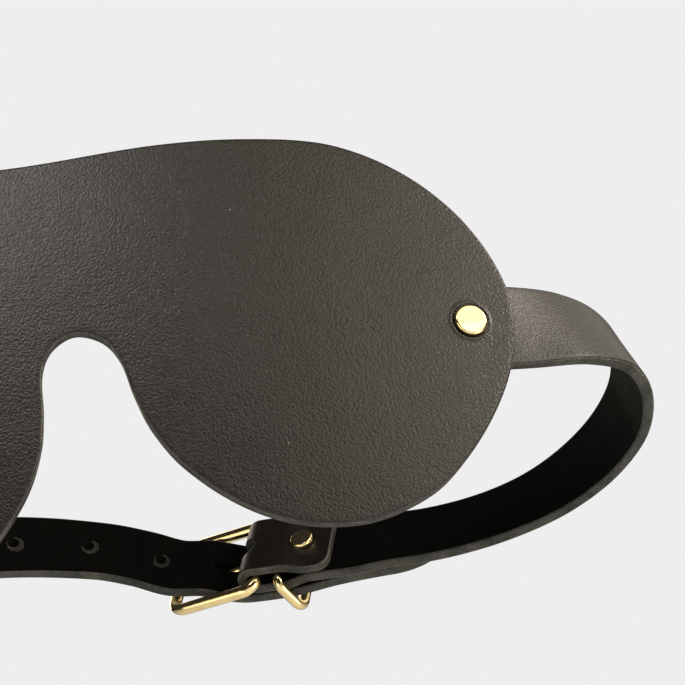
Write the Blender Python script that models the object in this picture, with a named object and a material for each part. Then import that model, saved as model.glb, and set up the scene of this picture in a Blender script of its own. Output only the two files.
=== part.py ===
"""Two-eye leather mask with a riveted, buckled head strap.

Metres, +Z up (towards the wearer's forehead). The mask's outer face looks along -Y, the wearer's head
is on the +Y side, and X = 0 is the mask's plane of symmetry. The head strap is one closed loop: the
buckle strap comes round from the right-hand rivet, the punched billet strap from the left-hand rivet,
and they meet behind the head in a wire buckle with a prong and a wire keeper.
"""

import bisect
import math

import bmesh
import bpy
from mathutils import Vector

MM = 0.001

# Leather
LEATHER = 2.8 * MM
STRAP_WIDTH = 20.0 * MM
STRAP_END_ROUND = STRAP_WIDTH / 2
STRAP_END_BLUNTNESS = 0.25
EDGE_CHAMFER = 0.4 * MM
GAP = 0.3 * MM

# Mask panel: right half of the outline as (across, up), from the top centre round to the nose notch
MASK_OUTLINE = [
    (0.0, 43.8), (25.0, 44.1), (45.0, 42.4), (64.0, 38.0), (79.0, 28.0), (89.2, 14.2), (93.8, -3.0),
    (90.6, -17.9), (81.7, -31.4), (68.1, -43.5), (57.3, -47.9), (47.0, -48.9), (35.3, -46.3),
    (24.9, -40.0), (15.6, -29.9), (11.0, -20.8), (9.1, -12.9), (7.9, -4.7), (5.2, 0.3), (0.0, 2.8),
]
OUTLINE_STEPS = 5
MASK_RADIUS = 538.0 * MM
NOSE_CREASE = math.radians(2.7)
NOSE_CREASE_WIDTH = 12.0 * MM
BEND_SLICES = 24
RIVET_ACROSS = 82.9 * MM
RIVET_UP = -9.6 * MM

# Head strap's middle line as (x, y, z) in millimetres and its lean in degrees. A leaning strap has its
# upper edge tipped towards the loop's outside. The buckle sits on a straight stretch between the lists.
RIGHT_STATIONS = [
    (69.0, 6.2, -9.6, 0), (82.9, 7.5, -9.6, 0), (96.5, 10.4, -10.4, -5), (109.5, 14.8, -11.2, -15),
    (120.7, 23.0, -12.7, -18), (128.3, 34.8, -16.1, -9), (130.7, 48.5, -20.7, 4), (127.0, 62.0, -24.9, 17),
    (119.2, 74.0, -27.9, 27), (109.0, 84.5, -29.2, 35), (97.0, 93.1, -28.9, 38), (84.0, 100.6, -27.0, 38),
]
LEFT_STATIONS = [
    (13.0, 133.2, -7.2, 31), (2.0, 134.5, -2.0, 27), (-20.0, 135.5, 4.5, 20), (-42.0, 132.0, 7.0, 17),
    (-64.0, 123.0, 7.0, 14), (-85.0, 109.0, 5.0, 12), (-103.0, 91.0, 2.0, 9), (-116.0, 71.0, -2.0, 5),
    (-122.0, 50.0, -5.5, 0), (-120.5, 31.0, -8.2, -5), (-111.5, 17.0, -9.5, -6), (-97.5, 10.4, -9.8, -3),
    (-82.9, 7.5, -9.6, 0), (-69.0, 6.2, -9.6, 0),
]
BUCKLE_AT = Vector((44.4, 119.7, -17.7)) * MM
BUCKLE_HEADING = math.radians(153.0)
BUCKLE_CLIMB = math.radians(11.3)
BUCKLE_LEAN = 36.0
PATH_STEPS = 12
RIBBON_STEP = 3.0 * MM
FINE_STEP = 1.0 * MM
SLOT_SEGMENTS = 24
WIRE_ROUNDNESS = 4

# Buckle hardware, all brass wire
FRAME_WIRE = 1.7 * MM
FRAME_LENGTH = 26.3 * MM
FRAME_WIDTH = 25.4 * MM
FRAME_CORNER = 4.2 * MM
FRAME_TILT = math.radians(10.0)
PRONG_WIRE = 1.1 * MM
PRONG_OVERHANG = 1.4 * MM
PRONG_TIP_LIFT = 0.9 * MM
PRONG_LOOP_WIRE = 0.8 * MM
PRONG_CURL_FROM = math.radians(-228.0)
PRONG_CURL = math.radians(318.0)
PRONG_CURL_STEPS = 16
PRONG_TAPER = [(0.15, 1.0), (0.5, 0.95), (0.8, 0.85), (0.95, 0.7), (1.0, 0.45)]
KEEPER_WIRE = 1.5 * MM
KEEPER_WIDTH = 23.8 * MM
KEEPER_HEIGHT = 11.0 * MM
KEEPER_CORNER = 2.6 * MM
KEEPER_SLANT = math.radians(-21.0)
KEEPER_AT = -6.4 * MM

# Fold of the buckle strap round the heel bar, as distances along the strap from the heel bar
FOLD_HALF_OPEN = 1.85 * MM
FOLD_SLACK = 0.7 * MM
FOLD_STEPS = 12
FOLD_LEAVES_PATH = -40.0 * MM
FOLD_CLOSED_FROM = -24.0 * MM
FOLD_PINCH_FROM = -7.8 * MM
FOLD_PINCH_TO = -10.2 * MM
FOLD_RIVET_AT = -12.9 * MM
FOLD_RIVET_CAP_SEAT = 0.5 * MM
FOLD_RIVET_BACK_SEAT = 0.2 * MM
FOLD_TAIL_END = -21.3 * MM
STRAIGHT_FROM = -22.0 * MM
PRONG_SLOT_START = -5.4 * MM
PRONG_SLOT_LENGTH = 20.0 * MM
PRONG_SLOT_WIDTH = 4.8 * MM
PRONG_SLOT_ON_TAIL = 0.8 * MM
PRONG_POCKET_START = -4.2 * MM

# Billet strap: its stations near the buckle are (along, out of, across) the buckle strap's line, in mm
BILLET_OVER_FOLD = 6.5 * MM
BILLET_STATIONS = [
    (-52, 3.2, 1.0), (-43, 3.2, 1.0), (-33, 3.8, 0.9), (-22, 4.8, 0.5), (-13, 5.8, 0.1), (-7, 6.4, 0.0),
    (0, 6.5, 0.0), (5, 6.3, 0.0), (8, 5.6, 0.0), (12, 3.8, 0.0), (17, 1.6, 0.0),
]
TOE_GAP = 1.6 * MM
TIP_LENGTH = 15.0 * MM
BILLET_FINE_FROM = -8.5 * MM
BILLET_FINE_TO = 52.0 * MM
HOLE_DIAMETER = 3.2 * MM
HOLE_PITCH = 21.0 * MM
HOLE_IN_USE_AT = 11.0 * MM
HOLES_TOWARDS_TIP = 2
HOLES_TOWARDS_MASK = 5
WORN_HOLE_LENGTH = 12.8 * MM
WORN_HOLE_SHIFT = -1.0 * MM

# Double-cap rivets
STRAP_RIVET_CAP = 3.55 * MM
FOLD_RIVET_CAP = 3.3 * MM
FOLD_RIVET_BACK = 2.8 * MM
RIVET_DOME = 1.1 * MM
FLAT_BACK_DOME = 0.25 * MM
RIVET_RIM = 0.4 * MM
RIVET_TUBE = 1.7 * MM
RIVET_POST = 1.0 * MM
RIVET_POST_CLEAR = 0.5 * MM
RIVET_DOME_STEPS = 6
RIVET_SEGMENTS = 32

COLOURS = {
    "mask_leather": ((0.072, 0.062, 0.055, 1.0), 0.0, 0.55),
    "strap_leather": ((0.040, 0.036, 0.033, 1.0), 0.0, 0.60),
    "brass": ((0.86, 0.63, 0.24, 1.0), 1.0, 0.18),
}


def smoothstep(value, start, end):
    """0 before start, 1 after end, and a smooth step between them."""
    u = min(1.0, max(0.0, (value - start) / (end - start)))
    return u * u * (3.0 - 2.0 * u)


def hermite(points, steps, closed=False):
    """Points of a smooth curve through the given tuples of numbers, steps to a segment."""
    count = len(points)
    vectors = [Vector((*p, 0.0)[:3]) for p in points]

    def pick(i):
        return i % count if closed else min(max(i, 0), count - 1)

    def slope(i, axis):
        a, b = pick(i - 1), pick(i + 1)
        span = (vectors[pick(i)] - vectors[a]).length + (vectors[b] - vectors[pick(i)]).length
        return (points[b][axis] - points[a][axis]) / span

    out = []
    for i in range(count if closed else count - 1):
        j = pick(i + 1)
        chord = (vectors[j] - vectors[i]).length
        for k in range(steps):
            u = k / steps
            values = []
            for axis in range(len(points[0])):
                p0, p1 = points[i][axis], points[j][axis]
                m0, m1 = slope(i, axis) * chord, slope(i + 1, axis) * chord
                values.append(p0 * (2 * u**3 - 3 * u**2 + 1) + m0 * (u**3 - 2 * u**2 + u)
                              + p1 * (3 * u**2 - 2 * u**3) + m1 * (u**3 - u**2))
            out.append(tuple(values))
    if not closed:
        out.append(tuple(points[-1]))
    return out


class Path:
    """Middle line of a strap, through stations that each have a point and an upward direction."""

    def __init__(self, points, ups, zero):
        dense = hermite([(*p, *u) for p, u in zip(points, ups)], PATH_STEPS)
        self.points = [Vector(p[:3]) for p in dense]
        self.ups = [Vector(p[3:]) for p in dense]
        self.distances = [0.0]
        for a, b in zip(self.points, self.points[1:]):
            self.distances.append(self.distances[-1] + (b - a).length)
        origin = self.nearest(zero)
        self.distances = [d - origin for d in self.distances]

    def frame(self, distance):
        """Point, direction along, direction across (up the strap) and direction out of the loop."""
        i = min(max(bisect.bisect_right(self.distances, distance) - 1, 0), len(self.points) - 2)
        span = self.distances[i + 1] - self.distances[i]
        u = (distance - self.distances[i]) / span
        point = self.points[i].lerp(self.points[i + 1], u)
        start = self.points[i + 1] - self.points[max(i - 1, 0)]
        end = self.points[min(i + 2, len(self.points) - 1)] - self.points[i]
        along = start.normalized().lerp(end.normalized(), min(max(u, 0.0), 1.0)).normalized()
        across = self.ups[i].lerp(self.ups[i + 1], u)
        across = (across - along * across.dot(along)).normalized()
        return point, along, across, along.cross(across)

    def place(self, distance, outward, across):
        """World position of a point given along, out of and across the strap."""
        point, _, side, out = self.frame(distance)
        return point + out * outward + side * across

    def nearest(self, target):
        """Distance along the path of its point nearest to a target."""
        i = min(range(len(self.points)), key=lambda k: (self.points[k] - target).length)
        return self.distances[i]


def leaning_ups(points, leans):
    """Direction across the strap at each point, tipped out of upright by an angle in degrees."""
    ups = []
    for i, lean in enumerate(leans):
        along = (points[min(i + 1, len(points) - 1)] - points[max(i - 1, 0)]).normalized()
        level = (Vector((0, 0, 1)) - along * along.z).normalized()
        angle = math.radians(lean)
        ups.append(level * math.cos(angle) + along.cross(level) * math.sin(angle))
    return ups


def make_buckle_path():
    """Path of the buckle strap from the right-hand rivet, ending in a straight run past the buckle."""
    along = Vector((math.cos(BUCKLE_HEADING) * math.cos(BUCKLE_CLIMB),
                    math.sin(BUCKLE_HEADING) * math.cos(BUCKLE_CLIMB), math.sin(BUCKLE_CLIMB)))
    points = [Vector(station[:3]) * MM for station in RIGHT_STATIONS]
    leans = [station[3] for station in RIGHT_STATIONS]
    for distance in (STRAIGHT_FROM, STRAIGHT_FROM / 2, 0.0, FRAME_LENGTH / 2, FRAME_LENGTH):
        points.append(BUCKLE_AT + along * distance)
        leans.append(BUCKLE_LEAN)
    return Path(points, leaning_ups(points, leans), BUCKLE_AT)


def make_billet_path(buckle_path):
    """Path of the billet from its tip, over the fold, under the toe bar and round to the left rivet."""
    toe_bar = FRAME_LENGTH * math.sin(FRAME_TILT)
    near = [Vector(station) * MM for station in BILLET_STATIONS]
    near.append((FRAME_LENGTH * math.cos(FRAME_TILT), toe_bar - FRAME_WIRE - TOE_GAP - LEATHER / 2, 0.0))
    points = [buckle_path.place(*station) for station in near]
    ups = [buckle_path.frame(station[0])[2] for station in near]
    far = [Vector(station[:3]) * MM for station in LEFT_STATIONS]
    far_ups = leaning_ups([points[-1]] + far, [BUCKLE_LEAN] + [station[3] for station in LEFT_STATIONS])
    zero = buckle_path.place(0.0, BILLET_OVER_FOLD, 0.0)
    return Path(points + far, ups + far_ups[1:], zero)


def clear_scene():
    for item in list(bpy.data.objects):
        bpy.data.objects.remove(item, do_unlink=True)


def material(name):
    found = bpy.data.materials.get(name)
    if found:
        return found
    colour, metallic, roughness = COLOURS[name]
    made = bpy.data.materials.new(name)
    made.use_nodes = True
    shader = made.node_tree.nodes["Principled BSDF"]
    shader.inputs["Base Color"].default_value = colour
    shader.inputs["Metallic"].default_value = metallic
    shader.inputs["Roughness"].default_value = roughness
    made.diffuse_color = colour
    return made


def add_object(name, data, material_name):
    item = bpy.data.objects.new(name, data)
    bpy.context.scene.collection.objects.link(item)
    data.materials.append(material(material_name))
    return item


def mesh_object(name, bm, material_name):
    bmesh.ops.recalc_face_normals(bm, faces=bm.faces)
    mesh = bpy.data.meshes.new(name)
    bm.to_mesh(mesh)
    bm.free()
    return add_object(name, mesh, material_name)


def loft(rings):
    """A closed body through rings of points, with a flat cap on each end."""
    bm = bmesh.new()
    made = [[bm.verts.new(p) for p in ring] for ring in rings]
    count = len(made[0])
    for a, b in zip(made, made[1:]):
        for k in range(count):
            n = (k + 1) % count
            bm.faces.new((a[k], a[n], b[n], b[k]))
    bm.faces.new(made[0])
    bm.faces.new(made[-1])
    return bm


def cut(target, bm, name):
    """Subtract a cutter, which stays in the file as a hidden wire shape."""
    cutter = mesh_object(name, bm, "brass")
    cutter.hide_render = True
    cutter.display_type = "WIRE"
    modifier = target.modifiers.new(name, "BOOLEAN")
    modifier.operation = "DIFFERENCE"
    modifier.object = cutter


def obround(bm, point, along, across, out, length, width, depth):
    """A slot-shaped prism. With length equal to width it is a cylinder."""
    radius = width / 2
    reach = max(length / 2 - radius, 0.0)
    ring = []
    for k in range(SLOT_SEGMENTS):
        angle = -math.pi / 2 + 2 * math.pi * (k + 0.5) / SLOT_SEGMENTS
        shift = reach if math.cos(angle) > 0 else -reach
        ring.append(point + along * (shift + radius * math.cos(angle)) + across * (radius * math.sin(angle)))
    low = [bm.verts.new(p - out * depth / 2) for p in ring]
    high = [bm.verts.new(p + out * depth / 2) for p in ring]
    for k in range(SLOT_SEGMENTS):
        n = (k + 1) % SLOT_SEGMENTS
        bm.faces.new((low[k], low[n], high[n], high[k]))
    bm.faces.new(low)
    bm.faces.new(high)


def lathe(name, profile, centre, axis, material_name):
    """Revolve (radius, height) points round an axis through centre. Both ends lie on the axis."""
    turn = axis.to_track_quat("Z", "Y")
    bm = bmesh.new()
    rows = []
    for radius, height in profile:
        if radius == 0.0:
            rows.append([bm.verts.new(centre + turn @ Vector((0, 0, height)))])
            continue
        row = []
        for k in range(RIVET_SEGMENTS):
            angle = 2 * math.pi * k / RIVET_SEGMENTS
            offset = Vector((radius * math.cos(angle), radius * math.sin(angle), height))
            row.append(bm.verts.new(centre + turn @ offset))
        rows.append(row)
    for a, b in zip(rows, rows[1:]):
        for k in range(RIVET_SEGMENTS):
            n = (k + 1) % RIVET_SEGMENTS
            if len(a) == 1:
                bm.faces.new((a[0], b[k], b[n]))
            elif len(b) == 1:
                bm.faces.new((a[k], a[n], b[0]))
            else:
                bm.faces.new((a[k], a[n], b[n], b[k]))
    return mesh_object(name, bm, material_name)


def wire(name, points, radius, closed, radii=None):
    """Round brass wire along points."""
    data = bpy.data.curves.new(name, "CURVE")
    data.dimensions = "3D"
    data.bevel_depth = radius
    data.bevel_resolution = WIRE_ROUNDNESS
    data.use_fill_caps = not closed
    spline = data.splines.new("POLY")
    spline.points.add(len(points) - 1)
    for i, (spline_point, p) in enumerate(zip(spline.points, points)):
        spline_point.co = (*p, 1.0)
        spline_point.radius = radii[i] if radii else 1.0
    spline.use_cyclic_u = closed
    return add_object(name, data, "brass")


def rounded_rectangle(origin, side, rise, width, height, corner, steps=5):
    """Points of a rounded rectangle whose first side is centred on the origin."""
    out = []
    centres = [(width / 2 - corner, corner), (width / 2 - corner, height - corner),
               (corner - width / 2, height - corner), (corner - width / 2, corner)]
    for quarter, (u, v) in enumerate(centres):
        for k in range(steps + 1):
            angle = -math.pi / 2 + (quarter + k / steps) * math.pi / 2
            across = u + corner * math.cos(angle)
            up = v + corner * math.sin(angle)
            out.append(origin + side * across + rise * up)
    return out


def mask_depth(across):
    """How far the mask's outer face lies back from its centre, at a distance across."""
    crease = math.hypot(across, NOSE_CREASE_WIDTH) - NOSE_CREASE_WIDTH
    return across * across / (2 * MASK_RADIUS) - NOSE_CREASE * crease


def mask_normal(across):
    """Direction out of the mask's outer face."""
    slope = across / MASK_RADIUS - NOSE_CREASE * across / math.hypot(across, NOSE_CREASE_WIDTH)
    return Vector((slope, -1.0, 0.0)).normalized()


def make_mask_panel():
    right = [(x, z) for x, z in MASK_OUTLINE]
    left = [(-x, z) for x, z in reversed(right[1:-1])]
    outline = hermite(right + left, OUTLINE_STEPS, closed=True)
    bm = bmesh.new()
    face = bm.faces.new([bm.verts.new((x * MM, 0.0, z * MM)) for x, z in outline])
    extruded = bmesh.ops.extrude_face_region(bm, geom=[face])
    for item in extruded["geom"]:
        if isinstance(item, bmesh.types.BMVert):
            item.co.y = LEATHER
    rim = [e for e in bm.edges if abs(e.verts[0].co.y - e.verts[1].co.y) < LEATHER / 2]
    bmesh.ops.bevel(bm, geom=rim, offset=EDGE_CHAMFER, segments=1, affect="EDGES")
    reach = max(v.co.x for v in bm.verts)
    for k in range(1, BEND_SLICES):
        x = -reach + 2 * reach * k / BEND_SLICES
        bmesh.ops.bisect_plane(bm, geom=bm.verts[:] + bm.edges[:] + bm.faces[:],
                               plane_co=(x, 0, 0), plane_no=(1, 0, 0))
    for vert in bm.verts:
        inward = -mask_normal(vert.co.x) * vert.co.y
        vert.co = Vector((vert.co.x, mask_depth(vert.co.x), vert.co.z)) + inward
    bmesh.ops.triangulate(bm, faces=bm.faces)
    panel = mesh_object("mask_panel", bm, "mask_leather")
    holes = bmesh.new()
    for side in (1, -1):
        point, out = rivet_place(side)
        along = Vector((0, 0, 1)).cross(out)
        obround(holes, point, along, Vector((0, 0, 1)), out, 2 * (RIVET_TUBE + GAP), 2 * (RIVET_TUBE + GAP),
                4 * LEATHER)
    cut(panel, holes, "mask_rivet_holes")
    return panel


def rivet_place(side):
    """Point on the mask's outer face at a strap rivet, and the direction out of the face."""
    across = side * RIVET_ACROSS
    return Vector((across, mask_depth(across), RIVET_UP)), mask_normal(across)


def ribbon(path, profile, half_widths):
    """A strip of leather along profile points of (distance, outward), with chamfered edges."""
    rings = []
    last = len(profile) - 1
    for i, (distance, outward) in enumerate(profile):
        a, b = profile[max(i - 1, 0)], profile[min(i + 1, last)]
        slope = Vector((b[0] - a[0], b[1] - a[1])).normalized()
        normal = Vector((-slope.y, slope.x))
        half = half_widths[i]
        chamfer = EDGE_CHAMFER
        flat = LEATHER / 2
        section = [(flat, half - chamfer), (flat - chamfer, half), (chamfer - flat, half),
                   (-flat, half - chamfer), (-flat, chamfer - half), (chamfer - flat, -half),
                   (flat - chamfer, -half), (flat, chamfer - half)]
        rings.append([path.place(distance + normal.x * t, outward + normal.y * t, w) for t, w in section])
    return loft(rings)


def steps_between(start, end, step=RIBBON_STEP):
    count = max(1, round(abs(end - start) / step))
    return [start + (end - start) * k / count for k in range(count + 1)]


def round_end(distances, end, length):
    """Half widths of a strap whose end at the given distance is rounded over a length."""
    out = []
    for distance in distances:
        run = min(1.0, abs(distance - end) / length)
        out.append(STRAP_WIDTH / 2 * max(STRAP_END_BLUNTNESS, math.sqrt(1.0 - (1.0 - run) ** 2)))
    return out


def end_steps(end, inward, length, steps=6):
    """Distances over a rounded end, closer together towards its tip."""
    return [end + inward * length * (1 - math.cos(math.pi / 2 * k / steps)) for k in range(steps)]


def buckle_strap_outward(distance):
    """Middle of the buckle strap's outer layer: on the path, then clear of the fold's middle."""
    closed = LEATHER / 2 + GAP / 2
    return (closed * smoothstep(distance, FOLD_LEAVES_PATH, FOLD_CLOSED_FROM)
            + (FOLD_HALF_OPEN - GAP / 2) * smoothstep(distance, FOLD_PINCH_TO, FOLD_PINCH_FROM))


def make_buckle_strap(path, right_rivet):
    end = right_rivet - STRAP_END_ROUND
    distances = end_steps(end, 1, STRAP_END_ROUND)
    distances += steps_between(end + STRAP_END_ROUND, FOLD_CLOSED_FROM - FINE_STEP)
    distances += steps_between(FOLD_CLOSED_FROM, FOLD_SLACK, FINE_STEP)
    profile = [(d, buckle_strap_outward(d)) for d in distances]
    widths = round_end(distances, end, STRAP_END_ROUND)
    radius = FOLD_HALF_OPEN + LEATHER / 2
    for k in range(1, FOLD_STEPS):
        angle = math.pi / 2 - math.pi * k / FOLD_STEPS
        profile.append((FOLD_SLACK + radius * math.cos(angle), radius * math.sin(angle)))
    for d in steps_between(FOLD_SLACK, FOLD_TAIL_END, FINE_STEP):
        profile.append((d, -buckle_strap_outward(d)))
    widths += [STRAP_WIDTH / 2] * (len(profile) - len(widths))
    strap = mesh_object("buckle_strap", ribbon(path, profile, widths), "strap_leather")

    cutters = bmesh.new()
    bore = 2 * (RIVET_TUBE + GAP)
    point, out = rivet_place(1)
    obround(cutters, point, Vector((0, 0, 1)).cross(out), Vector((0, 0, 1)), out, bore, bore, 8 * LEATHER)
    point, along, across, out = path.frame(FOLD_RIVET_AT)
    obround(cutters, point, along, across, out, bore, bore, 6 * LEATHER)
    cut(strap, cutters, "buckle_strap_holes")
    through = 8 * LEATHER
    pocket = FRAME_WIRE + 2 * GAP + 2 * PRONG_LOOP_WIRE
    slots = (("prong_slot", PRONG_SLOT_START, through / 2, through),
             ("prong_slot_on_tail", PRONG_SLOT_ON_TAIL, 0.0, through),
             ("prong_pocket", PRONG_POCKET_START, -pocket / 2, pocket))
    for name, start, outward, depth in slots:
        cutters = bmesh.new()
        point, along, across, out = path.frame(start + PRONG_SLOT_LENGTH / 2)
        point += out * outward
        obround(cutters, point, along, across, out, PRONG_SLOT_LENGTH, PRONG_SLOT_WIDTH, depth)
        cut(strap, cutters, name)
    return strap


def make_billet_strap(path, left_rivet):
    tip = path.distances[0]
    end = left_rivet + STRAP_END_ROUND
    distances = end_steps(tip, 1, TIP_LENGTH)
    distances += steps_between(tip + TIP_LENGTH, BILLET_FINE_FROM - RIBBON_STEP / 2)
    distances += steps_between(BILLET_FINE_FROM, BILLET_FINE_TO, RIBBON_STEP / 2)
    distances += steps_between(BILLET_FINE_TO + RIBBON_STEP, end - STRAP_END_ROUND)
    distances += reversed(end_steps(end, -1, STRAP_END_ROUND))
    profile = [(distance, 0.0) for distance in distances]
    tip_widths = round_end(distances, tip, TIP_LENGTH)
    end_widths = round_end(distances, end, STRAP_END_ROUND)
    widths = [min(a, b) for a, b in zip(tip_widths, end_widths)]
    strap = mesh_object("billet_strap", ribbon(path, profile, widths), "strap_leather")

    cutters = bmesh.new()
    for k in range(-HOLES_TOWARDS_TIP, HOLES_TOWARDS_MASK + 1):
        worn = k == 0
        distance = HOLE_IN_USE_AT + HOLE_PITCH * k + (WORN_HOLE_SHIFT if worn else 0.0)
        length = WORN_HOLE_LENGTH if worn else HOLE_DIAMETER
        obround(cutters, *path.frame(distance), length, HOLE_DIAMETER, 2 * LEATHER)
    bore = 2 * (RIVET_TUBE + GAP)
    point, out = rivet_place(-1)
    obround(cutters, point, Vector((0, 0, 1)).cross(out), Vector((0, 0, 1)), out, bore, bore, 8 * LEATHER)
    cut(strap, cutters, "billet_holes")
    return strap


def make_rivet(name, point, out, inward_stack, cap_radius, back_radius, back_dome):
    """A double-cap rivet: a domed cap with a post, and a domed back with a tube round that post."""
    seat = GAP
    floor = -inward_stack - GAP
    post_end = floor + RIVET_POST_CLEAR
    cap = [(0.0, post_end), (RIVET_POST, post_end), (RIVET_POST, seat), (cap_radius, seat),
           (cap_radius, seat + RIVET_RIM)]
    back = [(0.0, floor), (RIVET_POST + GAP, floor), (RIVET_POST + GAP, seat - GAP),
            (RIVET_TUBE, seat - GAP), (RIVET_TUBE, floor), (back_radius, floor),
            (back_radius, floor - RIVET_RIM)]
    for k in range(1, RIVET_DOME_STEPS):
        angle = math.pi / 2 * k / RIVET_DOME_STEPS
        cap.append((cap_radius * math.cos(angle), seat + RIVET_RIM + RIVET_DOME * math.sin(angle)))
        back.append((back_radius * math.cos(angle), floor - RIVET_RIM - back_dome * math.sin(angle)))
    cap.append((0.0, seat + RIVET_RIM + RIVET_DOME))
    back.append((0.0, floor - RIVET_RIM - back_dome))
    lathe(name + "_cap", cap, point, out, "brass")
    lathe(name + "_back", back, point, out, "brass")


def make_rivets(path):
    stack = 2 * LEATHER + GAP
    for side, label in ((1, "right"), (-1, "left")):
        point, out = rivet_place(side)
        make_rivet("strap_rivet_" + label, point, out, stack, STRAP_RIVET_CAP, STRAP_RIVET_CAP, RIVET_DOME)
    point, _, _, out = path.frame(FOLD_RIVET_AT)
    face = LEATHER + GAP / 2
    stack = 2 * face + FOLD_RIVET_CAP_SEAT + FOLD_RIVET_BACK_SEAT
    make_rivet("fold_rivet", point - out * (face + FOLD_RIVET_CAP_SEAT), -out, stack,
               FOLD_RIVET_CAP, FOLD_RIVET_BACK, FLAT_BACK_DOME)


def make_buckle(path):
    heel, along, across, out = path.frame(0.0)
    reach = along * math.cos(FRAME_TILT) + out * math.sin(FRAME_TILT)
    points = rounded_rectangle(heel, across, reach, FRAME_WIDTH, FRAME_LENGTH, FRAME_CORNER)
    wire("buckle_frame", points, FRAME_WIRE, closed=True)

    bend = FRAME_WIRE + GAP + PRONG_LOOP_WIRE
    toe = reach * FRAME_LENGTH
    above = FRAME_WIRE + GAP + PRONG_TIP_LIFT
    tip = heel + toe + out * above + along * PRONG_OVERHANG
    points = []
    for k in range(PRONG_CURL_STEPS + 1):
        angle = PRONG_CURL_FROM + PRONG_CURL * k / PRONG_CURL_STEPS
        points.append(heel - along * bend * math.cos(angle) + out * bend * math.sin(angle))
    radii = [PRONG_LOOP_WIRE / PRONG_WIRE] * len(points) + [thickness for _, thickness in PRONG_TAPER]
    points += [points[-1].lerp(tip, share) for share, _ in PRONG_TAPER]
    wire("buckle_prong", points, PRONG_WIRE, closed=False, radii=radii)

    centre, along, across, out = path.frame(KEEPER_AT)
    rise = out * math.cos(KEEPER_SLANT) + along * math.sin(KEEPER_SLANT)
    points = rounded_rectangle(centre, across, rise, KEEPER_WIDTH, KEEPER_HEIGHT, KEEPER_CORNER)
    wire("keeper_loop", points, KEEPER_WIRE, closed=True)


def main():
    clear_scene()
    buckle_path = make_buckle_path()
    billet_path = make_billet_path(buckle_path)
    make_mask_panel()
    make_buckle_strap(buckle_path, buckle_path.nearest(rivet_place(1)[0]))
    make_billet_strap(billet_path, billet_path.nearest(rivet_place(-1)[0]))
    make_rivets(buckle_path)
    make_buckle(buckle_path)


main()
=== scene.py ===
import math

import bpy
import numpy as np
from mathutils import Matrix, Vector, noise
from mathutils.geometry import delaunay_2d_cdt


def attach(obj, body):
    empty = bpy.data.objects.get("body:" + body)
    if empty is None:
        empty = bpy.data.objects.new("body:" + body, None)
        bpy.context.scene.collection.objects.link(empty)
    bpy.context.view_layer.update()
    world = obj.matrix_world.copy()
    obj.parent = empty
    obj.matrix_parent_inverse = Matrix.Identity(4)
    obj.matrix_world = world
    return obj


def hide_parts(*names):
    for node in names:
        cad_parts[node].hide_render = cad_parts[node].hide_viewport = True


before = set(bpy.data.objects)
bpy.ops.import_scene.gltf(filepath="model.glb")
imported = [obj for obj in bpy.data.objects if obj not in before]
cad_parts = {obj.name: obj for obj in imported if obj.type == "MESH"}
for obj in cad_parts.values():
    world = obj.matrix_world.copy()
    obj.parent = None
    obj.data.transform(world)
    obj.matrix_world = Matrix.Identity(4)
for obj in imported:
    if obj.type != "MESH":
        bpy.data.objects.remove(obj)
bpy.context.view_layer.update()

MM = 0.001
BODY = "mask_and_straps"

# ---------------------------------------------------------------- sizes as in the CAD

# Leather, and the play between touching parts
LEATHER = 2.8 * MM
STRAP_WIDTH = 20.0 * MM
GAP = 0.3 * MM

# Mask: the right half of its outline as (across, up) in millimetres, its curve and its rivets
MASK_OUTLINE = [
    (0.0, 43.8), (25.0, 44.1), (45.0, 42.4), (64.0, 38.0), (79.0, 28.0), (89.2, 14.2), (93.8, -3.0),
    (90.6, -17.9), (81.7, -31.4), (68.1, -43.5), (57.3, -47.9), (47.0, -48.9), (35.3, -46.3),
    (24.9, -40.0), (15.6, -29.9), (11.0, -20.8), (9.1, -12.9), (7.9, -4.7), (5.2, 0.3), (0.0, 2.8),
]
MASK_RADIUS = 538.0 * MM
NOSE_CREASE = math.radians(2.7)
NOSE_CREASE_WIDTH = 12.0 * MM
RIVET_ACROSS = 82.9 * MM
RIVET_UP = -9.6 * MM

# Straps: stations of the middle line in millimetres, each with the strap's lean in degrees
RIGHT_STATIONS = [
    (69.0, 6.2, -9.6, 0), (82.9, 7.5, -9.6, 0), (96.5, 10.4, -10.4, -5), (109.5, 14.8, -11.2, -15),
    (120.7, 23.0, -12.7, -18), (128.3, 34.8, -16.1, -9), (130.7, 48.5, -20.7, 4), (127.0, 62.0, -24.9, 17),
    (119.2, 74.0, -27.9, 27), (109.0, 84.5, -29.2, 35), (97.0, 93.1, -28.9, 38), (84.0, 100.6, -27.0, 38),
]
LEFT_STATIONS = [
    (13.0, 133.2, -7.2, 31), (2.0, 134.5, -2.0, 27), (-20.0, 135.5, 4.5, 20), (-42.0, 132.0, 7.0, 17),
    (-64.0, 123.0, 7.0, 14), (-85.0, 109.0, 5.0, 12), (-103.0, 91.0, 2.0, 9), (-116.0, 71.0, -2.0, 5),
    (-122.0, 50.0, -5.5, 0), (-120.5, 31.0, -8.2, -5), (-111.5, 17.0, -9.5, -6), (-97.5, 10.4, -9.8, -3),
    (-82.9, 7.5, -9.6, 0), (-69.0, 6.2, -9.6, 0),
]
BUCKLE_AT = np.array((44.4, 119.7, -17.7)) * MM
BUCKLE_HEADING = math.radians(153.0)
BUCKLE_CLIMB = math.radians(11.3)
BUCKLE_LEAN = 36.0
STRAIGHT_FROM = -22.0 * MM

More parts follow.
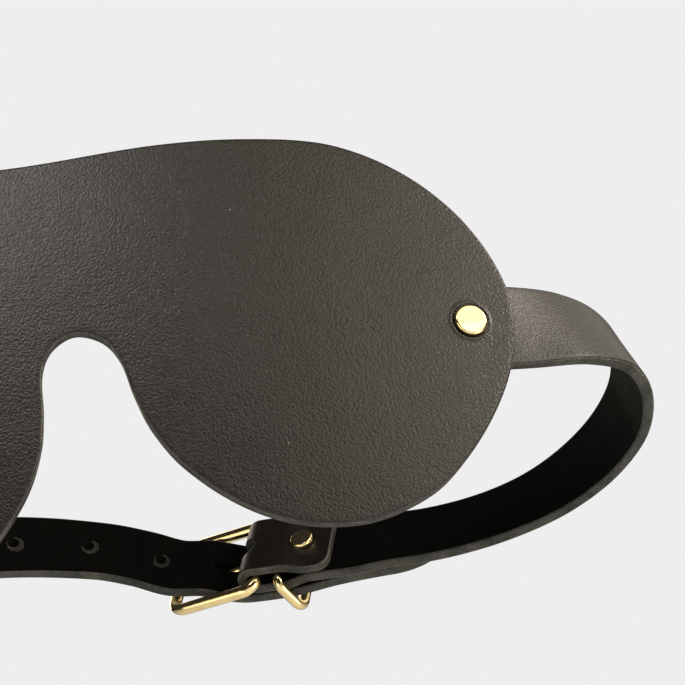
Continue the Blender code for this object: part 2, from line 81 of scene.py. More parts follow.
# Buckle hardware
FRAME_WIRE = 1.7 * MM
FRAME_LENGTH = 26.3 * MM
FRAME_WIDTH = 25.4 * MM
FRAME_CORNER = 4.2 * MM
FRAME_TILT = math.radians(10.0)
PRONG_WIRE = 1.1 * MM
PRONG_OVERHANG = 1.4 * MM
PRONG_TIP_LIFT = 0.9 * MM
PRONG_LOOP_WIRE = 0.8 * MM
PRONG_CURL_FROM = -228.0
PRONG_CURL = 318.0
KEEPER_WIRE = 1.5 * MM
KEEPER_WIDTH = 23.8 * MM
KEEPER_HEIGHT = 11.0 * MM
KEEPER_CORNER = 2.6 * MM
KEEPER_SLANT = math.radians(-21.0)
KEEPER_AT = -6.4 * MM

# Fold of the buckle strap, and the prong's slot and pocket in it
FOLD_HALF_OPEN = 1.85 * MM
FOLD_SLACK = 0.7 * MM
FOLD_LEAVES_PATH = -40.0 * MM
FOLD_CLOSED_FROM = -24.0 * MM
FOLD_RIVET_AT = -12.9 * MM
FOLD_RIVET_CAP_SEAT = 0.5 * MM
FOLD_RIVET_BACK_SEAT = 0.2 * MM
FOLD_TAIL_END = -21.3 * MM
PRONG_SLOT_START = -5.4 * MM
PRONG_SLOT_ON_TAIL = 0.8 * MM
PRONG_POCKET_START = -4.2 * MM

# Billet: (along, out, across) of its stations in the buckle in millimetres, its tip and its holes
BILLET_OVER_FOLD = 6.5 * MM
BILLET_STATIONS = [
    (-52, 3.2, 1.0), (-43, 3.2, 1.0), (-33, 3.8, 0.9), (-22, 4.8, 0.5), (-13, 5.8, 0.1), (-7, 6.4, 0.0),
    (0, 6.5, 0.0), (5, 6.3, 0.0), (8, 5.6, 0.0), (12, 3.8, 0.0), (17, 1.6, 0.0),
]
TOE_GAP = 1.6 * MM
TIP_LENGTH = 15.0 * MM
HOLE_DIAMETER = 3.2 * MM
HOLE_PITCH = 21.0 * MM
HOLE_IN_USE_AT = 11.0 * MM
HOLES_TOWARDS_TIP = 2
HOLES_TOWARDS_MASK = 5
WORN_HOLE_LENGTH = 12.8 * MM
WORN_HOLE_SHIFT = -1.0 * MM

# Rivets
STRAP_RIVET_CAP = 3.55 * MM
FOLD_RIVET_CAP = 3.3 * MM
FOLD_RIVET_BACK = 2.8 * MM
RIVET_DOME = 1.1 * MM
FLAT_BACK_DOME = 0.25 * MM
RIVET_RIM = 0.4 * MM
RIVET_TUBE = 1.7 * MM


# ---------------------------------------------------------------- what the visual model changes or adds

# Fold: a longer pinch, rounder tail corners, and a wider slot that ends in a soft pocket
FOLD_PINCH_FROM = -7.0 * MM
FOLD_PINCH_TO = -15.0 * MM
TAIL_CORNER = 3.6 * MM
PRONG_SLOT_WIDTH = 6.4 * MM
POCKET_DEPTH = 1.9 * MM
POCKET_HALF_WIDTH = 2.4 * MM
POCKET_FULL_WITHIN = 1.3 * MM
POCKET_FADE = 0.8 * MM

# Prong: shares of its radius at shares of its length, after the loop round the heel bar
PRONG_TAPER = [(0.15, 1.0), (0.5, 0.95), (0.8, 0.85), (0.95, 0.7), (1.0, 0.42)]

# Billet's holes: a smaller bore that leans, sunk a little on the grain side and dished on the flesh side
HOLE_BORE = 2.6 * MM
HOLE_REACH = 4.2 * MM
HOLE_SINK = 0.18 * MM
HOLE_SINK_FULL = 2.0 * MM
HOLE_DISH = 0.45 * MM
HOLE_DISH_REACH = 3.4 * MM
HOLE_DISH_FULL = 1.6 * MM
HOLE_TILT = 0.5
HOLE_TILT_FULL = 1.9 * MM
WORN_TILT_FULL = 2.2 * MM

# Painted light round those holes: a lighter, off-centre ring with a ragged edge on the flesh side
PAINTED_LIGHT_RADIUS = 2.4 * MM
PAINTED_LIGHT_SHIFT = np.array((-0.6, -0.6)) * MM
RAGGED_SHARE = 0.08
RAGGED_ALONG = 0.35 * MM
RAGGED_ACROSS = 0.28 * MM

# Leather pressed in under a rivet's cap, with a soft lip and a wide shallow hollow round it
PRESS_RADIUS = 3.8 * MM
PRESS_WIDTH = 0.45 * MM
PRESS_DEPTH = 0.26 * MM
PRESS_LIP = 0.17 * MM
PRESS_LIP_AT = 1.1 * PRESS_WIDTH
PRESS_LIP_WIDTH = 0.8 * PRESS_WIDTH
HOLLOW_DEPTH = 0.10 * MM
HOLLOW_REACH = 14 * MM
HOLLOW_FULL = 5 * MM
STRAP_PRESS_SHARE = 0.7
FOLD_PRESS_SCALE = 1.2

# Rivets: lower caps, how far their feet sink into the pressed leather, and the shape of a cap's edge
LOW_CAP_DOME = 0.5 * MM
FOLD_CAP_DOME = 1.0 * MM
CAP_SINK = 0.3 * MM
FOLD_CAP_SINK = 0.35 * MM
BACK_SINK = 0.2 * MM
TUBE_PLAY = 0.1 * MM
CAP_ROLL = 0.22 * MM
CAP_SHOULDER = 0.55 * MM
CAP_CROWN = 0.07 * MM
CAP_CROWN_SHARE = 0.2

# Unevenness of the leather: (height, size of a lump, seed)
MASK_WAVES = [(0.10 * MM, 22 * MM, 1), (0.035 * MM, 7 * MM, 2)]
BUCKLE_STRAP_WAVES = [(0.05 * MM, 14 * MM, 3)]
BILLET_WAVES = [(0.05 * MM, 14 * MM, 4)]

# Material slots of a piece of leather
GRAIN, FLESH, CUT, FIBRE_AND_HIGHLIGHT, PAINTED_LIGHT_RIM = range(5)


# ---------------------------------------------------------------- fineness of the meshes

PATH_STEPS = 60
MASK_OUTLINE_STEPS = 24
FOLD_STEPS = 40
BUCKLE_STRAP_STEP = 0.2 * MM
BILLET_STEP = 0.25 * MM
SHEET_SPACING = 1.1 * MM
SHEET_ROWS = 0.866 * SHEET_SPACING
OUTLINE_CLEAR = 0.5 * SHEET_SPACING
HOLE_CLEAR = 0.3 * SHEET_SPACING
LOOP_SPACING = 0.7 * MM
EDGE_ROUND = 0.55 * MM
HOLE_ROUND = 0.3 * MM
EDGE_STEPS = 5
CORNER_BANDS = 2
WALL_STEPS = 3
POCKET_STEP = 0.45 * MM
POCKET_MARGIN = 1.2 * MM
POCKET_ROWS = np.arange(-2.7, 2.8, 0.45) * MM
WIRE_SPACING = 0.5 * MM
PRONG_CURL_STEPS = 60
PRONG_STEPS = 50
SHOULDER_STEPS = 12
CROWN_STEPS = 8

# Rings of close points round holes: first radius, last radius, step, and radius kept free of the grid
MASK_RINGS = (2.6 * MM, 6.6 * MM, 0.3 * MM, 6.9 * MM)
BUCKLE_STRAP_RINGS = (2.6 * MM, 5.6 * MM, 0.35 * MM, 5.8 * MM)
BILLET_RINGS = (1.75 * MM, 5.0 * MM, 0.28 * MM, 5.2 * MM)


# ---------------------------------------------------------------- camera, floor and light

CAMERA_AT = Vector((-0.0161, -0.2802, -0.1304))
CAMERA_HEADING = math.radians(13.96)
CAMERA_PITCH = math.radians(22.57)
CAMERA_ROLL = math.radians(16.18)
CAMERA_LENS = 78.8
SENSOR_WIDTH = 36.0
FLOOR_HEIGHT = -0.42
FLOOR_HALF_SIZE = 30.0
FLOOR_GLOW = 0.3

# Brightness of the world as seen directly, and as a light on the object
BACKDROP = 0.855
WORLD_LIGHT = 0.03

WARM = (1.0, 0.90, 0.76)
COOL = (1.0, 0.94, 0.90)
MIDDLE = (0.0, 0.0, 0.0)
BUCKLE = (0.044, 0.12, -0.018)

# Softboxes: name, place, what it is turned to, width, height, watts, colour
SOFTBOXES = [
    ("front_low", (0.594, -1.029, 0.167), MIDDLE, 0.5, 0.5, 0.60, WARM),
    ("front_key", (0.640, -0.941, 0.454), (0.083, 0.007, -0.01), 0.7, 0.7, 3.2, WARM),
    ("front_high", (0.0, -0.892, 0.803), MIDDLE, 0.5, 0.5, 0.7, WARM),
    ("near_left", (-0.035, -0.250, 0.205), (-0.045, 0.0, 0.044), 0.10, 0.10, 0.22, COOL),
    ("near_right", (0.377, -0.150, 0.110), (0.080, 0.003, 0.0), 0.12, 0.12, 0.72, WARM),
    ("side_soft", (0.90, -0.13, 0.59), (0.11, 0.01, -0.015), 0.7, 0.5, 1.65, WARM),
    ("right_rear", (0.95, 0.45, 0.42), (0.12, 0.03, -0.01), 0.5, 0.5, 0.9, WARM),
    ("left_low", (-0.60, -0.40, -0.10), BUCKLE, 0.5, 0.6, 2.0, WARM),
    ("below_front", (0.02, -0.22, -0.27), BUCKLE, 0.6, 0.36, 0.15, WARM),
    ("back_fill", (-0.25, 1.05, 0.60), (0.0, 0.07, 0.0), 0.9, 0.9, 5.5, WARM),
    ("below_right", (0.42, -0.22, -0.28), (0.12, 0.03, -0.03), 0.3, 0.3, 0.8, WARM),
]


# ---------------------------------------------------------------- curves and paths

def unit(v):
    return v / np.linalg.norm(v, axis=-1, keepdims=True)


def smoothstep(value, start, end):
    """0 at start, 1 at end, smooth between, for start below or above end."""
    u = np.clip((value - start) / (end - start), 0.0, 1.0)
    return u * u * (3.0 - 2.0 * u)


def hermite(points, steps, closed=False):
    """Points of the CAD's smooth curve through rows of numbers, steps to a segment."""
    points = np.array(points, float)
    count = len(points)
    if closed:
        before, after = np.roll(points, 1, 0), np.roll(points, -1, 0)
    else:
        before = np.vstack([points[:1], points[:-1]])
        after = np.vstack([points[1:], points[-1:]])

    def gap(a, b):
        return np.linalg.norm((a - b)[:, :3], axis=1)

    slopes = (after - before) / (gap(points, before) + gap(after, points))[:, None]
    rows = []
    for i in range(count if closed else count - 1):
        j = (i + 1) % count
        chord = np.linalg.norm((points[j] - points[i])[:3])
        u = (np.arange(steps) / steps)[:, None]
        m0, m1 = slopes[i] * chord, slopes[j] * chord
        rows.append(points[i] * (2 * u**3 - 3 * u**2 + 1) + m0 * (u**3 - 2 * u**2 + u)
                    + points[j] * (3 * u**2 - 2 * u**3) + m1 * (u**3 - u**2))
    if not closed:
        rows.append(points[-1:])
    return np.vstack(rows)


def columns(at, known, values):
    """Linear interpolation of each column of values."""
    return np.stack([np.interp(at, known, values[:, k]) for k in range(values.shape[1])], -1)


def running_length(points):
    return np.concatenate([[0.0], np.cumsum(np.linalg.norm(np.diff(points, axis=0), axis=1))])


class Path:
    """Middle line of a strap, with its direction along, across and out of the loop."""

    def __init__(self, points, ups, zero):
        dense = hermite(np.hstack([points, ups]), PATH_STEPS)
        self.points, self.ups = dense[:, :3], dense[:, 3:]
        self.distances = running_length(self.points)
        self.distances -= self.nearest(zero)
        self.tangents = unit(np.gradient(self.points, self.distances, axis=0))

    def nearest(self, target):
        return self.distances[np.argmin(np.linalg.norm(self.points - target, axis=1))]

    def frame(self, distance):
        point = columns(distance, self.distances, self.points)
        along = unit(columns(distance, self.distances, self.tangents))
        across = columns(distance, self.distances, self.ups)
        across = unit(across - along * np.sum(across * along, -1, keepdims=True))
        return point, along, across, np.cross(along, across)

    def place(self, distance, outward, across):
        point, _, side, out = self.frame(distance)
        return point + out * np.asarray(outward)[..., None] + side * np.asarray(across)[..., None]


def leaning_ups(points, leans):
    """Direction across the strap at each point, tipped out of upright by an angle in degrees."""
    ups = []
    for i, lean in enumerate(leans):
        along = unit(points[min(i + 1, len(points) - 1)] - points[max(i - 1, 0)])
        level = unit(np.array((0.0, 0.0, 1.0)) - along * along[2])
        angle = math.radians(lean)
        ups.append(level * math.cos(angle) + np.cross(along, level) * math.sin(angle))
    return np.array(ups)


def make_buckle_path():
    along = np.array((math.cos(BUCKLE_HEADING) * math.cos(BUCKLE_CLIMB),
                      math.sin(BUCKLE_HEADING) * math.cos(BUCKLE_CLIMB), math.sin(BUCKLE_CLIMB)))
    stations = np.array(RIGHT_STATIONS)
    straight = [STRAIGHT_FROM, STRAIGHT_FROM / 2, 0.0, FRAME_LENGTH / 2, FRAME_LENGTH]
    points = np.vstack([stations[:, :3] * MM] + [BUCKLE_AT + along * d for d in straight])
    leans = np.concatenate([stations[:, 3], np.full(len(straight), BUCKLE_LEAN)])
    return Path(points, leaning_ups(points, leans), BUCKLE_AT)


def make_billet_path(buckle_path):
    toe_bar = FRAME_LENGTH * math.sin(FRAME_TILT)
    near = np.array(BILLET_STATIONS) * MM
    toe = (FRAME_LENGTH * math.cos(FRAME_TILT), toe_bar - FRAME_WIRE - TOE_GAP - LEATHER / 2, 0.0)
    near = np.vstack([near, toe])
    points = buckle_path.place(near[:, 0], near[:, 1], near[:, 2])
    ups = buckle_path.frame(near[:, 0])[2]
    stations = np.array(LEFT_STATIONS)
    far = stations[:, :3] * MM
    leans = np.concatenate([[BUCKLE_LEAN], stations[:, 3]])
    far_ups = leaning_ups(np.vstack([points[-1:], far]), leans)[1:]
    zero = buckle_path.place(0.0, BILLET_OVER_FOLD, 0.0)
    return Path(np.vstack([points, far]), np.vstack([ups, far_ups]), zero)


# ---------------------------------------------------------------- pieces

def add_object(name, data):
    item = bpy.data.objects.new(name, data)
    bpy.context.scene.collection.objects.link(item)
    return item


def smooth_object(name, points, faces, materials, slots=None):
    """An object with smooth faces. slots give each face's material; without them, all have the first."""
    mesh = bpy.data.meshes.new(name)
    mesh.from_pydata([tuple(point) for point in points], [], faces)
    for material in materials:
        mesh.materials.append(material)
    if slots is not None:
        mesh.polygons.foreach_set("material_index", slots)
    mesh.polygons.foreach_set("use_smooth", [True] * len(faces))
    mesh.validate()
    mesh.update()
    return add_object(name, mesh)


def stand_for(item, node, body):
    """Hide the CAD node that a piece replaces, and hang the piece on the body it rides on."""
    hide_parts(node)
    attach(item, body)


# ---------------------------------------------------------------- leather as closed sheets

def resample(loop, spacing):
    """A closed loop of 2-D points at even distances."""
    closed = np.vstack([loop, loop[:1]])
    length = running_length(closed)
    count = max(16, int(round(length[-1] / spacing)))
    return columns(np.arange(count) / count * length[-1], length, closed)


def loop_normals(loop):
    """Directions to the left of a closed loop at its points."""
    along = unit(np.roll(loop, -1, 0) - np.roll(loop, 1, 0))
    return np.stack([-along[:, 1], along[:, 0]], -1)


def turn_left(loop):
    """The loop, turned round if needed so that its inside is on its left."""
    x, y = loop[:, 0], loop[:, 1]
    area = np.sum(x * np.roll(y, -1) - np.roll(x, -1) * y)
    return loop if area > 0 else loop[::-1]


def inside(points, loop):
    """Which points lie inside a closed loop."""
    found = np.zeros(len(points), bool)
    for a, b in zip(loop, np.roll(loop, -1, 0)):
        crosses = (a[1] > points[:, 1]) != (b[1] > points[:, 1])
        at = a[0] + (points[:, 1] - a[1]) * (b[0] - a[0]) / (b[1] - a[1] if b[1] != a[1] else 1e-12)
        found ^= crosses & (points[:, 0] < at)
    return found


def far_from(points, loop, distance):
    """Which points lie further than a distance from every point of a loop."""
    keep = np.ones(len(points), bool)
    for p in loop:
        keep &= np.sum((points - p) ** 2, axis=1) > distance * distance
    return keep


def circle(centre, radius, count=32):
    angle = 2 * math.pi * np.arange(count) / count
    return np.stack([centre[0] + radius * np.cos(angle), centre[1] + radius * np.sin(angle)], -1)


def obround(start, end, width, count=16):
    """A slot-shaped loop along u from start to end."""
    radius = width / 2
    angle = math.pi * (np.arange(count + 1) / count - 0.5)
    right = np.stack([end - radius + radius * np.cos(angle), radius * np.sin(angle)], -1)
    left = np.stack([start + radius - radius * np.cos(angle), -radius * np.sin(angle)], -1)
    return np.vstack([right, left])


def polar_points(centre, first, last, step):
    """Closely spaced points in rings round a centre."""
    rows = [circle(centre, r, max(12, int(2 * math.pi * r / step))) for r in np.arange(first, last, step)]
    return np.vstack(rows)


def inner_points(outline, rims, centres, rings, extra):
    """A triangular grid, rings of closer points round the centres and extra points, clear of the rims."""
    first, last, step, clear = rings
    low, high = outline.min(0) + SHEET_SPACING / 2, outline.max(0)
    xs, ys = np.arange(low[0], high[0], SHEET_SPACING), np.arange(low[1], high[1], SHEET_ROWS)
    grid = np.array([(x + (k % 2) * SHEET_SPACING / 2, y) for k, y in enumerate(ys) for x in xs])
    for centre in centres:
        grid = grid[np.sum((grid - centre) ** 2, axis=1) > clear * clear]
    points = np.vstack([grid] + [polar_points(centre, first, last, step) for centre in centres] + [extra])
    keep = inside(points, rims[0]) & far_from(points, rims[0], OUTLINE_CLEAR)
    for rim in rims[1:]:
        keep &= ~inside(points, rim) & far_from(points, rim, HOLE_CLEAR)
    return points[keep]


def sheet_domain(outline, holes, centres, rings, extra):
    """Rings just inside the outline and round each hole, and the points and triangles between them."""
    loops = [turn_left(resample(outline, LOOP_SPACING))]
    rounds = [EDGE_ROUND]
    for hole in holes:
        loops.append(turn_left(resample(hole, LOOP_SPACING / 2))[::-1])
        rounds.append(HOLE_ROUND)
    normals = [loop_normals(loop) for loop in loops]
    rims = [loop + n * r for loop, n, r in zip(loops, normals, rounds)]
    edges, start = [], 0
    for rim in rims:
        count = len(rim)
        edges += [(start + k, start + (k + 1) % count) for k in range(count)]
        start += count
    coords = np.vstack(rims + [inner_points(outline, rims, centres, rings, extra)])
    made = delaunay_2d_cdt([Vector(p) for p in coords], edges, [], 0, 1e-9)
    origin = [ids[0] for ids in made[3]]
    triangles = np.array([[origin[i] for i in face] for face in made[2]])
    middles = coords[triangles].mean(1)
    keep = inside(middles, rims[0])
    for rim in rims[1:]:
        keep &= ~inside(middles, rim)
    return loops, normals, rounds, coords, triangles[keep].tolist()


def edge_profile(radius):
    """(inset, depth) of the lines round an edge: over the grain's corner, down the cut, over the flesh's."""
    upper = []
    for k in range(1, EDGE_STEPS + 1):
        angle = math.pi / 2 * k / EDGE_STEPS
        upper.append((radius * (1 - math.sin(angle)), radius * (1 - math.cos(angle))))
    height = LEATHER - 2 * radius
    wall = [(0.0, radius + height * k / WALL_STEPS) for k in range(1, WALL_STEPS)]
    return upper + wall + [(inset, LEATHER - down) for inset, down in reversed(upper)]


def in_painted_light_rim(at, punched):
    """Whether a place lies in the ragged, off-centre ring of painted light round one of the punched holes."""
    ragged = 1.0 + RAGGED_SHARE * math.sin(at[0] / RAGGED_ALONG) * math.cos(at[1] / RAGGED_ACROSS)
    return any(math.dist(at, centre + PAINTED_LIGHT_SHIFT) < PAINTED_LIGHT_RADIUS * ragged for centre in punched)


def leather_sheet(name, outline, holes, place, materials, centres, rings, extra=np.empty((0, 2)), punched=()):
    """A closed body of leather, with its materials in the order of the slots. place(u, v, depth) gives
    world points, with depth 0 on the grain side and LEATHER on the flesh side. Round the punched holes
    the flesh side has an off-centre ring of painted light, and the holes' walls are painted shade in
    the flesh side's dark material."""
    loops, normals, rounds, coords, triangles = sheet_domain(outline, holes, centres, rings, extra)
    count = len(coords)
    domain = [coords, coords]
    depth = [np.zeros(count), np.full(count, LEATHER)]
    faces, slots = [], []
    for a, b, c in triangles:
        pa, pb, pc = coords[a], coords[b], coords[c]
        if (pb[0] - pa[0]) * (pc[1] - pa[1]) - (pb[1] - pa[1]) * (pc[0] - pa[0]) < 0:
            b, c = c, b
        faces += [(a, b, c), (count + a, count + c, count + b)]
        # Flesh-side faces in the off-centre ring round a punched hole get a lighter material: painted light.
        slots += [GRAIN, PAINTED_LIGHT_RIM if in_painted_light_rim((pa + pb + pc) / 3, punched) else FLESH]
    corner, wall = FIBRE_AND_HIGHLIGHT, CUT  # of the outline, which is the first of the loops
    start, total = 0, 2 * count
    for loop, normal, radius in zip(loops, normals, rounds):
        size = len(loop)
        rows = [np.arange(start, start + size)]
        for inset, down in edge_profile(radius):
            domain.append(loop + normal * inset)
            depth.append(np.full(size, down))
            rows.append(np.arange(total, total + size))
            total += size
        rows.append(np.arange(count + start, count + start + size))
        lower = len(rows) - 1 - EDGE_STEPS
        # The outline's corner bands take a lighter material: partly lighter fibre, partly a painted highlight
        # along the edge.
        bands = [GRAIN] * (EDGE_STEPS - CORNER_BANDS) + [corner] * CORNER_BANDS + [wall] * lower
        for upper_row, lower_row, slot in zip(rows, rows[1:], bands):
            for k in range(size):
                n = (k + 1) % size
                faces.append((upper_row[k], lower_row[k], lower_row[n], upper_row[n]))
            slots += [slot] * size
        start += size
        # On a sheet with punched holes, the walls and corners of the holes take the dark flesh material:
        # painted shade.
        corner = wall = FLESH if len(punched) else CUT
    uv = np.vstack(domain)
    world = place(uv[:, 0], uv[:, 1], np.concatenate(depth))
    return smooth_object(name, world, faces, materials, slots)


def soft_noise(points, size, seed):
    """Smooth noise from -1 to 1, with lumps of about a size."""
    shift = Vector((seed * 17.3, seed * 5.1, seed * 11.7))
    return np.array([noise.noise(Vector(p) / size + shift) for p in points])


def unevenness(across, along, up, waves):
    """Soft waves of a sheet at these places: a sum of noises, each with its height, size and seed."""
    points = np.stack([across, along, up], -1)
    return sum(height * soft_noise(points, size, seed) for height, size, seed in waves)


def press(distance):
    """How deep a rivet has pressed the leather in at a distance from its middle."""
    dish = smoothstep(distance, PRESS_RADIUS + PRESS_WIDTH, PRESS_RADIUS)
    lip = np.exp(-((distance - PRESS_RADIUS - PRESS_LIP_AT) / PRESS_LIP_WIDTH) ** 2)
    hollow = smoothstep(distance, HOLLOW_REACH, HOLLOW_FULL)
    return PRESS_DEPTH * dish - PRESS_LIP * lip + HOLLOW_DEPTH * hollow


# ---------------------------------------------------------------- mask panel

def mask_depth(x):
    crease = np.hypot(x, NOSE_CREASE_WIDTH) - NOSE_CREASE_WIDTH
    return x * x / (2 * MASK_RADIUS) - NOSE_CREASE * crease


def mask_normal(x):
    slope = x / MASK_RADIUS - NOSE_CREASE * x / np.hypot(x, NOSE_CREASE_WIDTH)
    normal = np.stack([slope, -np.ones_like(slope), np.zeros_like(slope)], -1)
    return unit(normal)


def mask_place(x, z, depth):
    flat = np.zeros_like(x)
    base = np.stack([x, mask_depth(x), z], -1)
    dent = sum(press(np.hypot(x - side * RIVET_ACROSS, z - RIVET_UP)) for side in (1, -1))
    sunk = depth + dent * (1.0 - depth / LEATHER) + unevenness(x, flat, z, MASK_WAVES)
    return base - mask_normal(x) * sunk[:, None]


def rivet_place(side):
    """Where the right (1) or left (-1) strap rivet meets the mask's grain, and the direction out of it."""
    across = np.array(side * RIVET_ACROSS)
    point = np.array((across, mask_depth(across), RIVET_UP))
    return point, mask_normal(across)


def make_mask(materials):
    right = np.array(MASK_OUTLINE)
    left = right[1:-1][::-1] * (-1, 1)
    outline = hermite(np.vstack([right, left]), MASK_OUTLINE_STEPS, closed=True)[:, :2] * MM
    centres = [np.array((side * RIVET_ACROSS, RIVET_UP)) for side in (1, -1)]
    bores = [circle(centre, RIVET_TUBE + GAP) for centre in centres]
    panel = leather_sheet("leather_mask", outline, bores, mask_place, materials, centres, MASK_RINGS)
    stand_for(panel, "mask_panel", BODY)


# ---------------------------------------------------------------- straps

class Strip:
    """A strap's own coordinates: u along its middle line, v across, depth from its grain side."""

    def __init__(self, path, distances, outwards):
        self.path = path
        self.line = np.stack([distances, outwards], -1)
        self.u = running_length(self.line)
        along = unit(np.gradient(self.line, self.u, axis=0))
        self.normals = np.stack([-along[:, 1], along[:, 0]], -1)

    def place(self, u, v, depth):
        line = columns(u, self.u, self.line)
        normal = columns(u, self.u, self.normals)
        lifted = line + normal * (LEATHER / 2 - depth)[:, None]
        return self.path.place(lifted[:, 0], lifted[:, 1], v)

    def find(self, distance, tail=False):
        """u at a distance along the path: on the way to the fold, or with tail on the way back."""
        turn = int(np.argmax(self.line[:, 0]))
        part = slice(turn, None) if tail else slice(0, turn + 1)
        return self.u[part][np.argmin(np.abs(self.line[part, 0] - distance))]


def strap_outline(length, start_round, end_round, end_corner=STRAP_WIDTH / 2):
    """A strap's flat shape: straight sides, and ends whose curves take up these lengths along it."""
    half = STRAP_WIDTH / 2
    angle = math.pi / 2 * np.arange(25) / 24
    end = np.stack([length - end_round + end_round * np.sin(angle),
                    half - end_corner + end_corner * np.cos(angle)], -1)
    start = np.stack([start_round - start_round * np.sin(angle), half * np.cos(angle)], -1)
    return np.vstack([start[::-1], end, (end * (1, -1))[::-1], start * (1, -1)])


def buckle_strap_outward(distance):
    closed = LEATHER / 2 + GAP / 2
    return (closed * smoothstep(distance, FOLD_LEAVES_PATH, FOLD_CLOSED_FROM)
            + (FOLD_HALF_OPEN - GAP / 2) * smoothstep(distance, FOLD_PINCH_TO, FOLD_PINCH_FROM))


def make_fold_strip(path):
    """The buckle strap from behind the mask to the heel bar, round it and back to the end of its tail."""
    end = path.nearest(rivet_place(1)[0]) - STRAP_WIDTH / 2
    outer = np.arange(end, FOLD_SLACK, BUCKLE_STRAP_STEP)
    tail = np.arange(FOLD_SLACK, FOLD_TAIL_END, -BUCKLE_STRAP_STEP)
    radius = FOLD_HALF_OPEN + LEATHER / 2
    angle = np.pi / 2 - np.pi * np.arange(1, FOLD_STEPS) / FOLD_STEPS
    distances = np.concatenate([outer, FOLD_SLACK + radius * np.cos(angle), tail])
    outwards = np.concatenate([buckle_strap_outward(outer), radius * np.sin(angle),
                               -buckle_strap_outward(np.maximum(tail, FOLD_CLOSED_FROM))])
    return Strip(path, distances, outwards)


def make_buckle_strap(path, materials):
    strip = make_fold_strip(path)
    outline = strap_outline(strip.u[-1], STRAP_WIDTH / 2, TAIL_CORNER, TAIL_CORNER)
    rivets = [strip.find(path.nearest(rivet_place(1)[0])), strip.find(FOLD_RIVET_AT),
              strip.find(FOLD_RIVET_AT, tail=True)]
    centres = [np.array((u, 0.0)) for u in rivets]
    slot_from, slot_to = strip.find(PRONG_SLOT_START), strip.find(PRONG_SLOT_ON_TAIL, tail=True)
    slot_middle = (slot_from + slot_to) / 2
    pocket_to = strip.find(PRONG_POCKET_START, tail=True)
    holes = [circle(centre, RIVET_TUBE + GAP) for centre in centres]
    holes.append(obround(slot_from, slot_to, PRONG_SLOT_WIDTH))
    pocket = np.arange(slot_to, pocket_to + POCKET_MARGIN, POCKET_STEP)
    extra = np.array([(u, v) for u in pocket for v in POCKET_ROWS])

    def place(u, v, depth):
        down = depth / LEATHER
        dent = np.zeros_like(u)
        for rivet in rivets[1:]:
            dent += STRAP_PRESS_SHARE * press(FOLD_PRESS_SCALE * np.hypot(u - rivet, v)) * (1 - down)
        dent -= STRAP_PRESS_SHARE * press(np.hypot(u - rivets[0], v)) * down
        hollow = smoothstep(np.abs(v), POCKET_HALF_WIDTH, POCKET_FULL_WITHIN)
        hollow *= smoothstep(u, pocket_to + POCKET_FADE, pocket_to) * (u > slot_middle)
        dent -= POCKET_DEPTH * hollow * down
        waves = unevenness(u, v, np.zeros_like(u), BUCKLE_STRAP_WAVES)
        return strip.place(u, v, depth + dent + waves)

    strap = leather_sheet("leather_buckle_strap", outline, holes, place, materials, centres,
                          BUCKLE_STRAP_RINGS, extra)
    stand_for(strap, "buckle_strap", BODY)


def make_billet(path, materials):
    tip = path.distances[0]
    left_rivet = path.nearest(rivet_place(-1)[0])
    distances = np.arange(tip, left_rivet + STRAP_WIDTH / 2, BILLET_STEP)
    strip = Strip(path, distances, np.zeros_like(distances))
    outline = strap_outline(strip.u[-1], TIP_LENGTH, STRAP_WIDTH / 2)
    in_use = HOLE_IN_USE_AT - tip
    others = [k for k in range(-HOLES_TOWARDS_TIP, HOLES_TOWARDS_MASK + 1) if k]
    centres = [np.array((HOLE_IN_USE_AT + HOLE_PITCH * k - tip, 0.0)) for k in others]
    holes = [circle(centre, HOLE_BORE / 2) for centre in centres]
    worn_from = in_use + WORN_HOLE_SHIFT - WORN_HOLE_LENGTH / 2
    worn_to = in_use + WORN_HOLE_SHIFT + WORN_HOLE_LENGTH / 2
    holes.insert(HOLES_TOWARDS_TIP, obround(worn_from, worn_to, HOLE_DIAMETER))
    worn_middle, worn_half = worn_to - 0.75 * HOLE_DIAMETER, HOLE_DIAMETER / 4
    rivet = np.array((left_rivet - tip, 0.0))
    holes.append(circle(rivet, RIVET_TUBE + GAP))

    def place(u, v, depth):
        down, lean = depth / LEATHER, HOLE_TILT * (depth - LEATHER / 2)
        dent, slide = np.zeros_like(u), np.zeros_like(u)
        for centre in centres:
            reach = np.hypot(u - centre[0], v)
            dent += HOLE_SINK * smoothstep(reach, HOLE_REACH, HOLE_SINK_FULL) * (1 - down)
            dent -= HOLE_DISH * smoothstep(reach, HOLE_DISH_REACH, HOLE_DISH_FULL) * down
            slide += lean * smoothstep(reach, HOLE_REACH, HOLE_TILT_FULL)
        reach = np.hypot(np.maximum(0.0, np.abs(u - worn_middle) - worn_half), v)
        slide += lean * smoothstep(reach, HOLE_REACH, WORN_TILT_FULL)
        dent -= STRAP_PRESS_SHARE * press(np.hypot(u - rivet[0], v)) * down
        waves = unevenness(u, v, np.zeros_like(u), BILLET_WAVES)
        return strip.place(u, v + slide, depth + dent + waves)

    strap = leather_sheet("leather_billet_strap", outline, holes, place, materials, centres + [rivet],
                          BILLET_RINGS, punched=centres)
    stand_for(strap, "billet_strap", BODY)


# ---------------------------------------------------------------- brass

